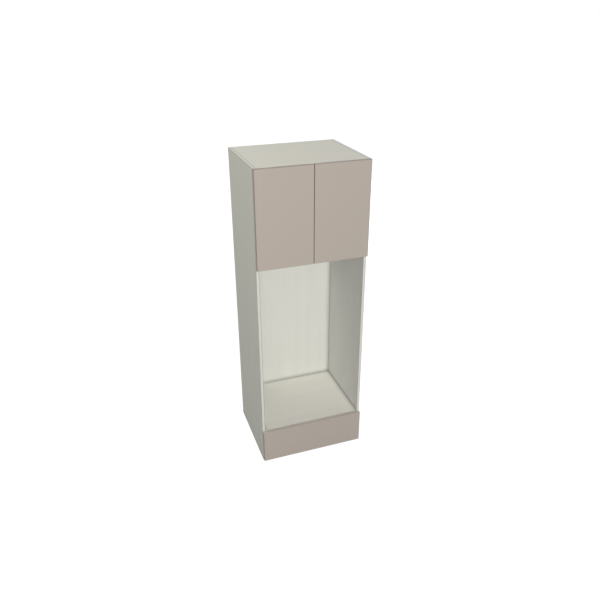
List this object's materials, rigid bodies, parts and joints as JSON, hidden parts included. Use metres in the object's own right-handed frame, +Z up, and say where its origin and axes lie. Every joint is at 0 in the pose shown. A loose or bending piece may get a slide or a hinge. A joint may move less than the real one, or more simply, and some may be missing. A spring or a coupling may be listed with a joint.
{
  "type": "tall oven housing unit",
  "caption": "Tall kitchen cabinet for built-in ovens: plain slab doors over a cupboard, an open oven space, and a low drawer front under it.",
  "frame": {"origin": "middle of the footprint, on the floor under the sides", "axes": "+Z up; the fronts face -Y; +X to the right for someone who faces the fronts"},
  "size_m": [0.6, 0.5044, 1.72],
  "materials": {
    "laminate": "matt laminate with a faint vertical grain",
    "edge_band": "matt",
    "rail_board": "bare chipboard, sealed edges",
    "front_board": "satin lacquer",
    "drawer_board": "matt laminate",
    "beech": "bare, fluted",
    "nickel_steel": "nickel plated",
    "zinc_steel": "zinc plated",
    "screw_steel": "zinc plated",
    "die_cast": "bare zinc alloy casting",
    "ball_steel": "polished",
    "cage_steel": "zinc plated",
    "latch_plastic": "fine grained",
    "plunger_plastic": "smooth",
    "buffer_rubber": "clear, soft"
  },
  "bodies": {
    "carcass": {"left_side": "laminate", "right_side": "laminate", "top_panel": "laminate", "cupboard_floor": "laminate", "oven_shelf": "laminate", "bottom_panel": "laminate", "back_panel": "laminate", "upper_fixing_rail": "rail_board", "lower_fixing_rail": "rail_board", "carcass_edge_bands": "edge_band", "adjustable_shelf": "laminate", "shelf_pins": "nickel_steel", "cams": "die_cast", "connecting_bolts": "zinc_steel", "wood_dowels": "beech", "left_hinge_plates": "die_cast", "right_hinge_plates": "die_cast", "left_hinge_arms": "nickel_steel", "right_hinge_arms": "nickel_steel", "left_arm_pins": "screw_steel", "right_arm_pins": "screw_steel", "hinge_screws": "screw_steel", "front_buffers": "buffer_rubber", "latch_housings": "latch_plastic", "latch_screws": "screw_steel", "left_cabinet_member": "zinc_steel", "right_cabinet_member": "zinc_steel", "cabinet_member_screws": "screw_steel"},
    "left_links": {"left_link_plates": "nickel_steel"},
    "left_door_body": {"left_door": "front_board", "left_hinge_cups": "nickel_steel", "left_cup_pins": "screw_steel", "left_cup_screws": "screw_steel"},
    "left_bars": {"left_link_bars": "nickel_steel"},
    "right_links": {"right_link_plates": "nickel_steel"},
    "right_door_body": {"right_door": "front_board", "right_hinge_cups": "nickel_steel", "right_cup_pins": "screw_steel", "right_cup_screws": "screw_steel"},
    "right_bars": {"right_link_bars": "nickel_steel"},
    "left_plunger": {"left_latch_plunger": "plunger_plastic"},
    "right_plunger": {"right_latch_plunger": "plunger_plastic"},
    "drawer_plunger": {"drawer_latch_plunger": "plunger_plastic"},
    "drawer": {"low_front": "front_board", "drawer_left_side": "drawer_board", "drawer_right_side": "drawer_board", "drawer_inner_front": "drawer_board", "drawer_back": "drawer_board", "drawer_bottom": "drawer_board", "drawer_screws": "screw_steel", "left_drawer_member": "zinc_steel", "right_drawer_member": "zinc_steel", "drawer_member_screws": "screw_steel"},
    "runner_middles": {"runner_middle_members": "zinc_steel"},
    "outer_cages": {"outer_ball_cages": "cage_steel", "outer_balls": "ball_steel"},
    "inner_cages": {"inner_ball_cages": "cage_steel", "inner_balls": "ball_steel"}
  },
  "joints": [
    {"name": "left_link_turn", "type": "hinge", "parent": "carcass", "child": "left_links", "pos_m": [-0.2686, -0.23065, 1.465], "axis": [0, 0, 1], "range_deg": [0, 78.3]},
    {"name": "left_door_hinge", "type": "hinge", "parent": "left_links", "child": "left_door_body", "pos_m": [-0.2847, -0.23825, 1.465], "axis": [0, 0, -1], "range_deg": [0, 170.2]},
    {"name": "left_bar_turn", "type": "hinge", "parent": "left_door_body", "child": "left_bars", "pos_m": [-0.2884, -0.23625, 1.465], "axis": [0, 0, 1], "range_deg": [0, 137.2]},
    {"name": "left_latch_push", "type": "slide", "parent": "carcass", "child": "left_plunger", "axis": [0, -1, 0], "range_m": [0, 0.01401]},
    {"name": "right_link_turn", "type": "hinge", "parent": "carcass", "child": "right_links", "pos_m": [0.2686, -0.23065, 1.465], "axis": [0, 0, -1], "range_deg": [0, 78.3]},
    {"name": "right_door_hinge", "type": "hinge", "parent": "right_links", "child": "right_door_body", "pos_m": [0.2847, -0.23825, 1.465], "axis": [0, 0, 1], "range_deg": [0, 170.2]},
    {"name": "right_bar_turn", "type": "hinge", "parent": "right_door_body", "child": "right_bars", "pos_m": [0.2884, -0.23625, 1.465], "axis": [0, 0, -1], "range_deg": [0, 137.2]},
    {"name": "right_latch_push", "type": "slide", "parent": "carcass", "child": "right_plunger", "axis": [0, -1, 0], "range_m": [0, 0.01401]},
    {"name": "drawer_slide", "type": "slide", "parent": "carcass", "child": "drawer", "axis": [0, -1, 0], "range_m": [0, 0.42]},
    {"name": "runner_middle_slide", "type": "slide", "parent": "carcass", "child": "runner_middles", "axis": [0, -1, 0], "range_m": [0, 0.2101]},
    {"name": "outer_cage_slide", "type": "slide", "parent": "carcass", "child": "outer_cages", "axis": [0, -1, 0], "range_m": [0, 0.1051]},
    {"name": "inner_cage_slide", "type": "slide", "parent": "carcass", "child": "inner_cages", "axis": [0, -1, 0], "range_m": [0, 0.3151]},
    {"name": "drawer_latch_push", "type": "slide", "parent": "carcass", "child": "drawer_plunger", "axis": [0, -1, 0], "range_m": [0, 0.01401]}
  ],
  "couplings": [
    {"joint": "left_link_turn", "follows": "left_door_hinge", "ratio": 0.45946},
    {"joint": "left_bar_turn", "follows": "left_door_hinge", "ratio": 0.80541},
    {"joint": "left_latch_push", "follows": "left_door_hinge", "m_per_rad": 0.004713},
    {"joint": "right_link_turn", "follows": "right_door_hinge", "ratio": 0.45946},
    {"joint": "right_bar_turn", "follows": "right_door_hinge", "ratio": 0.80541},
    {"joint": "right_latch_push", "follows": "right_door_hinge", "m_per_rad": 0.004713},
    {"joint": "runner_middle_slide", "follows": "drawer_slide", "ratio": 0.5},
    {"joint": "outer_cage_slide", "follows": "drawer_slide", "ratio": 0.25},
    {"joint": "inner_cage_slide", "follows": "drawer_slide", "ratio": 0.75},
    {"joint": "drawer_latch_push", "follows": "drawer_slide", "ratio": 0.033333}
  ]
}
